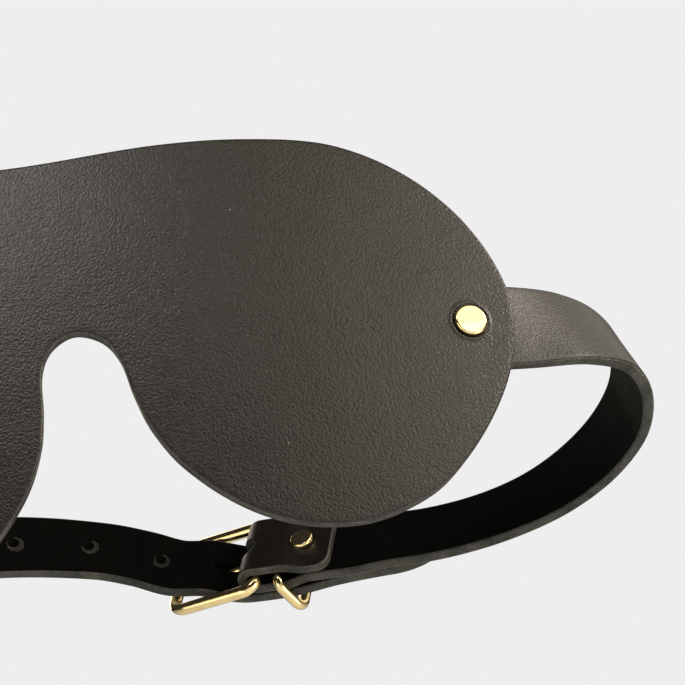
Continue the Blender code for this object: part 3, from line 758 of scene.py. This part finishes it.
def tube(name, points, radii, brass, closed, up, sides=28):
    """Round wire along points. up is a direction that the wire never runs along."""
    if closed:
        along = unit(np.roll(points, -1, 0) - np.roll(points, 1, 0))
    else:
        along = unit(np.gradient(points, axis=0))
    side = unit(np.cross(along, up))
    rise = np.cross(along, side)
    angle = 2 * math.pi * np.arange(sides) / sides
    count = len(points)
    radii = np.broadcast_to(radii, (count,))
    rings = points[:, None, :] + radii[:, None, None] * (
        side[:, None, :] * np.cos(angle)[None, :, None] + rise[:, None, :] * np.sin(angle)[None, :, None])
    faces = []
    for i in range(count if closed else count - 1):
        j = (i + 1) % count
        for k in range(sides):
            n = (k + 1) % sides
            faces.append((i * sides + k, i * sides + n, j * sides + n, j * sides + k))
    if not closed:
        faces.append(tuple(range(sides))[::-1])
        faces.append(tuple((count - 1) * sides + k for k in range(sides)))
    return smooth_object(name, rings.reshape(-1, 3), faces, [brass])


def rounded_rectangle(origin, side, rise, width, height, corner, steps=12):
    """Points of a rounded rectangle whose first side is centred on the origin."""
    rows = []
    centres = [(width / 2 - corner, corner), (width / 2 - corner, height - corner),
               (corner - width / 2, height - corner), (corner - width / 2, corner)]
    for quarter, (u, v) in enumerate(centres):
        for k in range(steps + 1):
            angle = -math.pi / 2 + (quarter + k / steps) * math.pi / 2
            rows.append((u + corner * math.cos(angle), v + corner * math.sin(angle)))
    flat = resample(np.array(rows), WIRE_SPACING)
    return origin + flat[:, :1] * side + flat[:, 1:] * rise


def lathe(name, profile, centre, axis, brass, segments=64):
    """Revolve (radius, height) points round an axis through centre. Both ends lie on the axis."""
    turn = Vector(axis).to_track_quat("Z", "Y")
    centre = Vector(centre)
    verts, rows, faces = [], [], []
    for radius, height in profile:
        count = 1 if radius == 0.0 else segments
        rows.append([len(verts) + k for k in range(count)])
        for k in range(count):
            a = 2 * math.pi * k / segments
            verts.append(centre + turn @ Vector((radius * math.cos(a), radius * math.sin(a), height)))
    for a, b in zip(rows, rows[1:]):
        for k in range(segments):
            n = (k + 1) % segments
            if len(a) == 1:
                faces.append((a[0], b[n], b[k]))
            elif len(b) == 1:
                faces.append((a[k], a[n], b[0]))
            else:
                faces.append((a[k], a[n], b[n], b[k]))
    return smooth_object(name, verts, faces, [brass])


def cap_profile(radius, foot, rim, dome):
    """Outside of a rivet cap from its rolled foot over a rounded shoulder to a nearly flat top."""
    rows = [(radius - CAP_ROLL, foot), (radius - CAP_ROLL * 0.3, foot + CAP_ROLL * 0.3),
            (radius, foot + CAP_ROLL)]
    shoulder = min(dome, CAP_SHOULDER)
    crown = min(CAP_CROWN, CAP_CROWN_SHARE * dome)
    for k in range(SHOULDER_STEPS + 1):
        angle = math.pi / 2 * k / SHOULDER_STEPS
        rows.append((radius - shoulder * (1 - math.cos(angle)), rim + (dome - crown) * math.sin(angle)))
    flat = radius - shoulder
    for k in range(1, CROWN_STEPS):
        across = flat * (1 - k / CROWN_STEPS)
        rows.append((across, rim + dome - crown * (across / flat) ** 2))
    rows.append((0.0, rim + dome))
    return rows


def rivet_half(name, node, point, out, stack, shape, rim, brass):
    """Cap or back of a rivet: shape is its radius, its dome and how far its foot sinks in."""
    radius, dome, sink = shape
    tube_radius, tube_end = RIVET_TUBE - TUBE_PLAY, GAP / 2 - stack / 2
    profile = [(0.0, tube_end), (tube_radius, tube_end), (tube_radius, -sink)]
    profile += cap_profile(radius, -sink, rim, dome)
    stand_for(lathe(name, profile, point, out, brass), node, BODY)


def make_rivet(name, node, point, out, stack, cap, back, brass):
    """Cap and back of one rivet through a stack of leather, whose outer face is at a point."""
    rivet_half(name + "_cap", node + "_cap", point, out, stack, cap, GAP, brass)
    rivet_half(name + "_back", node + "_back", point - out * stack, -out, stack, back, GAP + RIVET_RIM, brass)


def make_rivets(path, brass):
    cap = (STRAP_RIVET_CAP, LOW_CAP_DOME, CAP_SINK)
    back = (STRAP_RIVET_CAP, RIVET_DOME, BACK_SINK)
    for side, label in ((1, "right"), (-1, "left")):
        point, out = rivet_place(side)
        make_rivet("rivet_" + label, "strap_rivet_" + label, point, out, 2 * LEATHER + GAP, cap, back, brass)
    cap = (FOLD_RIVET_CAP, FOLD_CAP_DOME, FOLD_CAP_SINK)
    back = (FOLD_RIVET_BACK, FLAT_BACK_DOME, BACK_SINK)
    point, _, _, out = path.frame(np.array(FOLD_RIVET_AT))
    face = LEATHER + GAP / 2
    stack = 2 * face + FOLD_RIVET_CAP_SEAT + FOLD_RIVET_BACK_SEAT
    point = point - out * (face + FOLD_RIVET_CAP_SEAT)
    make_rivet("rivet_fold", "fold_rivet", point, -out, stack, cap, back, brass)


def make_frame(path, brass):
    heel, along, across, out = path.frame(np.array(0.0))
    reach = along * math.cos(FRAME_TILT) + out * math.sin(FRAME_TILT)
    points = rounded_rectangle(heel, across, reach, FRAME_WIDTH, FRAME_LENGTH, FRAME_CORNER)
    item = tube("brass_frame", points, FRAME_WIRE, brass, True, np.cross(across, reach))
    stand_for(item, "buckle_frame", "frame")


def make_prong(path, brass):
    """A wire that curls round the heel bar and runs straight to its tip over the toe bar."""
    heel, along, across, out = path.frame(np.array(0.0))
    reach = along * math.cos(FRAME_TILT) + out * math.sin(FRAME_TILT)
    bend = FRAME_WIRE + GAP + PRONG_LOOP_WIRE
    above = FRAME_WIRE + GAP + PRONG_TIP_LIFT
    tip = heel + reach * FRAME_LENGTH + out * above + along * PRONG_OVERHANG
    turned = np.arange(PRONG_CURL_STEPS + 1) / PRONG_CURL_STEPS
    angle = np.radians(PRONG_CURL_FROM + PRONG_CURL * turned)[:, None]
    curl = heel - along * bend * np.cos(angle) + out * bend * np.sin(angle)
    share = np.linspace(0.0, 1.0, PRONG_STEPS)[1:]
    straight = curl[-1] + (tip - curl[-1]) * share[:, None]
    loop = PRONG_LOOP_WIRE / PRONG_WIRE
    known, thickness = zip((0.0, loop), *PRONG_TAPER)
    taper = np.concatenate([np.full(len(curl), loop), np.interp(share, known, thickness)])
    item = tube("brass_prong", np.vstack([curl, straight]), PRONG_WIRE * taper, brass, False, across)
    stand_for(item, "buckle_prong", "prong")


def make_keeper(path, brass):
    centre, along, across, out = path.frame(np.array(KEEPER_AT))
    rise = out * math.cos(KEEPER_SLANT) + along * math.sin(KEEPER_SLANT)
    points = rounded_rectangle(centre, across, rise, KEEPER_WIDTH, KEEPER_HEIGHT, KEEPER_CORNER)
    item = tube("brass_keeper", points, KEEPER_WIRE, brass, True, np.cross(across, rise))
    stand_for(item, "keeper_loop", "keeper")


# ---------------------------------------------------------------- materials

class Nodes:
    """Short calls for building a material's node tree. Values can be numbers, colours or sockets."""

    inputs = {"colour": "Base Color", "roughness": "Roughness", "metallic": "Metallic", "normal": "Normal",
              "specular": "Specular IOR Level", "glow": "Emission Strength", "glow_colour": "Emission Color"}

    def __init__(self, name):
        self.material = bpy.data.materials.new(name)
        self.material.use_nodes = True
        self.tree = self.material.node_tree
        self.shader = self.tree.nodes["Principled BSDF"]
        self.coords = self.tree.nodes.new("ShaderNodeTexCoord").outputs["Object"]

    def feed(self, socket, value):
        if isinstance(value, bpy.types.NodeSocket):
            self.tree.links.new(value, socket)
        else:
            socket.default_value = value

    def add(self, kind, inputs, **settings):
        node = self.tree.nodes.new("ShaderNode" + kind)
        for key, value in settings.items():
            setattr(node, key, value)
        for key, value in inputs.items():
            self.feed(node.inputs[key], value)
        return node

    def noise(self, size, detail=3.0, roughness=0.55, distortion=0.0):
        """Noise from 0 to 1 with lumps of about a size in metres."""
        return self.add("TexNoise", {"Vector": self.coords, "Scale": 1.0 / size, "Detail": detail,
                                     "Roughness": roughness, "Distortion": distortion}).outputs["Fac"]

    def cells(self, size, feature, vector):
        return self.add("TexVoronoi", {"Vector": vector, "Scale": 1.0 / size}, feature=feature)

    def remap(self, value, from_low, from_high, to_low, to_high):
        return self.add("MapRange", {"Value": value, "From Min": from_low, "From Max": from_high,
                                     "To Min": to_low, "To Max": to_high}).outputs["Result"]

    def math(self, operation, a, b):
        return self.add("Math", {0: a, 1: b}, operation=operation).outputs[0]

    def weighted(self, *parts):
        """Sum of sockets, each given with its weight."""
        terms = [self.math("MULTIPLY", socket, weight) for socket, weight in parts]
        total = terms[0]
        for term in terms[1:]:
            total = self.math("ADD", total, term)
        return total

    def mix(self, factor, a, b):
        return self.add("Mix", {0: factor, 6: a, 7: b}, data_type="RGBA").outputs[2]

    def bump(self, height, strength, distance):
        return self.add("Bump", {"Height": height, "Strength": strength,
                                 "Distance": distance}).outputs["Normal"]

    def set(self, **values):
        for key, value in values.items():
            self.feed(self.shader.inputs[self.inputs[key]], value)
        return self.material


def rgba(*colour):
    return (*colour, 1.0)


def grain_leather(name, dark, light, speck, rough_low, bumps):
    """Finished side: fine pebbled grain, uneven dye, soft wear and a few light flecks. The grain's depth
    goes from the first to the second of bumps, from left of the nose to right of it."""
    n = Nodes(name)
    wobble = n.add("TexNoise", {"Vector": n.coords, "Scale": 1 / (1.6 * MM), "Detail": 2.0}).outputs["Color"]
    shift = n.add("VectorMath", {0: wobble, 1: (0.6 * MM,) * 3}, operation="MULTIPLY").outputs[0]
    bent = n.add("VectorMath", {0: n.coords, 1: shift}, operation="ADD").outputs[0]
    pebble = n.cells(0.50 * MM, "SMOOTH_F1", bent).outputs["Distance"]
    pores = n.noise(0.30 * MM, 2.0)
    folds = n.noise(1.7 * MM, 4.0, 0.65, 0.8)
    height = n.weighted((pebble, -1.0), (folds, 0.6), (pores, 0.35))
    dye = n.noise(18 * MM, 4.0, 0.6, 0.8)
    tone = n.remap(n.weighted((dye, 0.6), (folds, 0.4)), 0.3, 0.7, 0.0, 1.0)
    fleck = n.cells(5.5 * MM, "F1", n.coords)
    chance = n.add("SeparateColor", {"Color": fleck.outputs["Color"]}).outputs[0]
    dot = n.remap(fleck.outputs["Distance"], 0.035, 0.02, 0.0, 1.0)
    dot = n.math("MULTIPLY", dot, n.math("GREATER_THAN", chance, 0.72))
    colour = n.mix(dot, n.mix(tone, dark, light), speck)
    rough = n.remap(n.math("ADD", pebble, folds), 0.5, 1.3, rough_low, rough_low + 0.10)
    across = n.add("SeparateXYZ", {0: n.coords}).outputs[0]
    strength = n.remap(across, -30 * MM, 45 * MM, *bumps)
    return n.set(colour=colour, roughness=rough, normal=n.bump(height, strength, 0.12 * MM), specular=0.5)


def flesh_leather(name, dark, light):
    """Unfinished side: matt, with short fibres."""
    n = Nodes(name)
    fibre = n.noise(0.5 * MM, 5.0, 0.7, 1.5)
    patch = n.noise(9 * MM, 3.0, 0.6)
    tone = n.remap(n.weighted((fibre, 0.5), (patch, 0.5)), 0.35, 0.65, 0.0, 1.0)
    return n.set(colour=n.mix(tone, dark, light), roughness=n.remap(patch, 0.3, 0.7, 0.75, 0.9),
                 normal=n.bump(fibre, 0.4, 0.15 * MM), specular=0.05)


def cut_leather(name, dark, light):
    """Cut edge: packed fibres, dyed, with lighter specks. The same recipe gives the painted light round holes
    and the partly painted highlight along edges.
    """
    n = Nodes(name)
    fibre = n.noise(0.7 * MM, 4.0, 0.7, 1.0)
    patch = n.noise(7 * MM, 3.0)
    tone = n.remap(n.weighted((fibre, 0.55), (patch, 0.45)), 0.40, 0.64, 0.0, 1.0)
    return n.set(colour=n.mix(tone, dark, light), roughness=0.62,
                 normal=n.bump(fibre, 0.9, 0.25 * MM), specular=0.4)


def polished_brass(name, clean, dull):
    """Polished brass with faint tarnish and hairline marks."""
    n = Nodes(name)
    patch = n.noise(3.5 * MM, 4.0, 0.6, 0.4)
    marks = n.noise(0.18 * MM, 3.0, 0.6)
    tarnish = n.remap(patch, 0.42, 0.75, 0.0, 0.55)
    rough = n.remap(n.weighted((patch, 0.6), (marks, 0.4)), 0.35, 0.7, 0.08, 0.20)
    return n.set(colour=n.mix(tarnish, clean, dull), roughness=rough, metallic=1.0,
                 normal=n.bump(marks, 0.06, 0.05 * MM))


# ---------------------------------------------------------------- studio

def make_camera():
    data = bpy.data.cameras.new("photo_camera")
    data.lens = CAMERA_LENS
    data.sensor_width = SENSOR_WIDTH
    camera = add_object("photo_camera", data)
    forward = Vector((math.sin(CAMERA_HEADING) * math.cos(CAMERA_PITCH),
                      math.cos(CAMERA_HEADING) * math.cos(CAMERA_PITCH), math.sin(CAMERA_PITCH)))
    level = Vector((math.cos(CAMERA_HEADING), -math.sin(CAMERA_HEADING), 0.0))
    upright = level.cross(forward)
    right = level * math.cos(CAMERA_ROLL) - upright * math.sin(CAMERA_ROLL)
    up = upright * math.cos(CAMERA_ROLL) + level * math.sin(CAMERA_ROLL)
    camera.matrix_world = Matrix.Translation(CAMERA_AT) @ Matrix((right, up, -forward)).transposed().to_4x4()
    bpy.context.scene.camera = camera


def make_floor():
    mesh = bpy.data.meshes.new("floor")
    corners = [(-1, -1), (1, -1), (1, 1), (-1, 1)]
    mesh.from_pydata([(x * FLOOR_HALF_SIZE, y * FLOOR_HALF_SIZE, FLOOR_HEIGHT) for x, y in corners],
                     [], [(0, 1, 2, 3)])
    mesh.materials.append(Nodes("pale_floor").set(colour=rgba(0.80, 0.80, 0.80), roughness=0.9,
                                                  glow=FLOOR_GLOW, glow_colour=rgba(1.0, 0.98, 0.95)))
    add_object("floor", mesh)


def make_softboxes():
    for name, at, target, width, height, watts, colour in SOFTBOXES:
        data = bpy.data.lights.new(name, "AREA")
        data.shape = "RECTANGLE"
        data.size, data.size_y = width, height
        data.energy = watts
        data.color = colour
        lamp = add_object(name, data)
        lamp.location = at
        lamp.rotation_mode = "QUATERNION"
        lamp.rotation_quaternion = (Vector(target) - Vector(at)).to_track_quat("-Z", "Y")
        lamp.visible_camera = False


def make_world():
    """A pale backdrop that lights the object only a little."""
    world = bpy.data.worlds.new("studio")
    world.use_nodes = True
    tree = world.node_tree
    background = tree.nodes["Background"]
    background.inputs["Color"].default_value = rgba(1.0, 1.0, 1.0)
    rays = tree.nodes.new("ShaderNodeLightPath")
    strength = tree.nodes.new("ShaderNodeMapRange")
    strength.inputs["To Min"].default_value = WORLD_LIGHT
    strength.inputs["To Max"].default_value = BACKDROP
    tree.links.new(rays.outputs["Is Camera Ray"], strength.inputs["Value"])
    tree.links.new(strength.outputs["Result"], background.inputs["Strength"])
    bpy.context.scene.world = world
    bpy.context.scene.view_settings.view_transform = "Standard"


# ---------------------------------------------------------------- the whole scene

def make_object():
    mask_grain = grain_leather("mask_grain", rgba(0.0090, 0.0072, 0.0055), rgba(0.0135, 0.0110, 0.0085),
                               rgba(0.30, 0.28, 0.25), 0.27, (0.56, 0.72))
    strap_grain = grain_leather("strap_grain", rgba(0.0050, 0.0041, 0.0036), rgba(0.0095, 0.0078, 0.0067),
                                rgba(0.25, 0.24, 0.22), 0.36, (0.40, 0.40))
    flesh = flesh_leather("flesh_side", rgba(0.0010, 0.0010, 0.0009), rgba(0.0040, 0.0038, 0.0032))
    lining = flesh_leather("lining_side", rgba(0.0090, 0.0086, 0.0080), rgba(0.0240, 0.0230, 0.0210))
    cut = cut_leather("cut_edge", rgba(0.010, 0.0115, 0.009), rgba(0.078, 0.081, 0.069))
    # Lighter ring round the billet's holes: painted light.
    painted_light_rim = cut_leather("painted_light_hole_rim", rgba(0.004, 0.004, 0.0035), rgba(0.046, 0.045, 0.039))
    # Lighter line where the grain rounds over the edge: partly lighter fibre, partly painted highlight.
    fibre = cut_leather("edge_fibre_and_highlight", rgba(0.012, 0.012, 0.010), rgba(0.170, 0.168, 0.145))
    brass = polished_brass("polished_brass", rgba(0.95, 0.79, 0.42), rgba(0.68, 0.48, 0.17))
    path = make_buckle_path()
    make_mask([mask_grain, lining, cut, fibre])
    make_buckle_strap(path, [strap_grain, flesh, cut, fibre])
    make_billet(make_billet_path(path), [strap_grain, flesh, cut, fibre, painted_light_rim])
    make_rivets(path, brass)
    make_frame(path, brass)
    make_prong(path, brass)
    make_keeper(path, brass)


make_camera()
make_floor()
make_softboxes()
make_world()
make_object()
